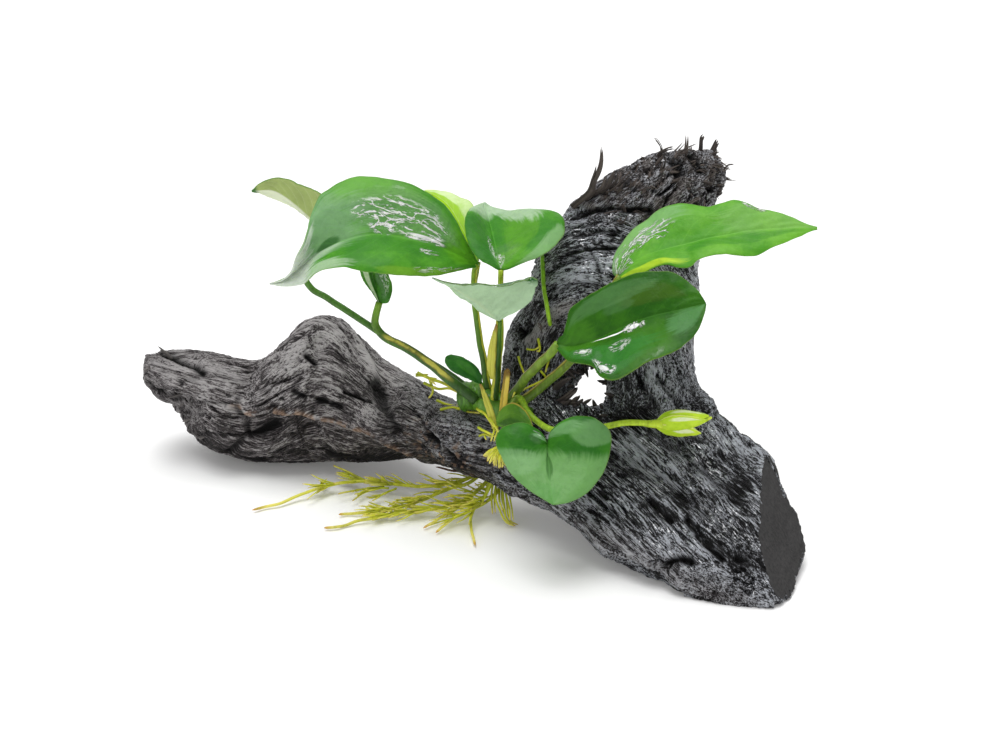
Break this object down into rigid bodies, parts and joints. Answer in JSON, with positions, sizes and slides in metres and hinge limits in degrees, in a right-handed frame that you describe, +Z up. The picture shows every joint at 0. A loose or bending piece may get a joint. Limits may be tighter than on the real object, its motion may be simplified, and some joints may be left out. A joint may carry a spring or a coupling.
{
  "type": "anubias on driftwood",
  "caption": "Broad-leaved aquarium plant with a creeping stem and yellow-green roots, grown on a forked piece of driftwood that lies on its underside.",
  "frame": {"origin": "centre of the bounding box's base, on the surface that the wood rests on", "axes": "+X to the right along the wood, from the thick left limb to the end of the slab, +Y to the back, +Z up"},
  "size_m": [0.2105, 0.123, 0.117],
  "materials": {
    "dry_wood": "dry, matte and weathered, grey-brown with light fibres",
    "wet_wood": "wet, near black, grooved along its grain",
    "leaf_green": "waxy, wet and glossy above, paler and satin below",
    "stalk_green": "smooth satin, yellow-green to dark green",
    "root_green": "satin, yellow-green with pale and brown tips"
  },
  "bodies": {
    "root": {"driftwood_left_limb": "dry_wood", "driftwood_slab": "wet_wood", "driftwood_upper_limb": "wet_wood", "creeping_stem": "stalk_green", "cut_stub": "stalk_green", "new_leaf": "stalk_green", "sheath_upper": "stalk_green", "sheath_lower": "stalk_green", "stalk_broad_left": "stalk_green", "stalk_back_left": "stalk_green", "stalk_folded": "stalk_green", "stalk_back_middle": "stalk_green", "stalk_upper_middle": "stalk_green", "stalk_lower_middle": "stalk_green", "stalk_round": "stalk_green", "stalk_long_right": "stalk_green", "stalk_heart": "stalk_green", "stalk_small_dark": "stalk_green", "leaf_broad_left": "leaf_green", "leaf_back_left": "leaf_green", "leaf_folded": "leaf_green", "leaf_back_middle": "leaf_green", "leaf_upper_middle": "leaf_green", "leaf_lower_middle": "leaf_green", "leaf_round": "leaf_green", "leaf_long_right": "leaf_green", "leaf_heart": "leaf_green", "leaf_small_dark": "leaf_green", "leaf_tucked": "leaf_green", "roots_front": "root_green", "root_right": "root_green", "roots_back_left": "root_green"}
  },
  "joints": []
}
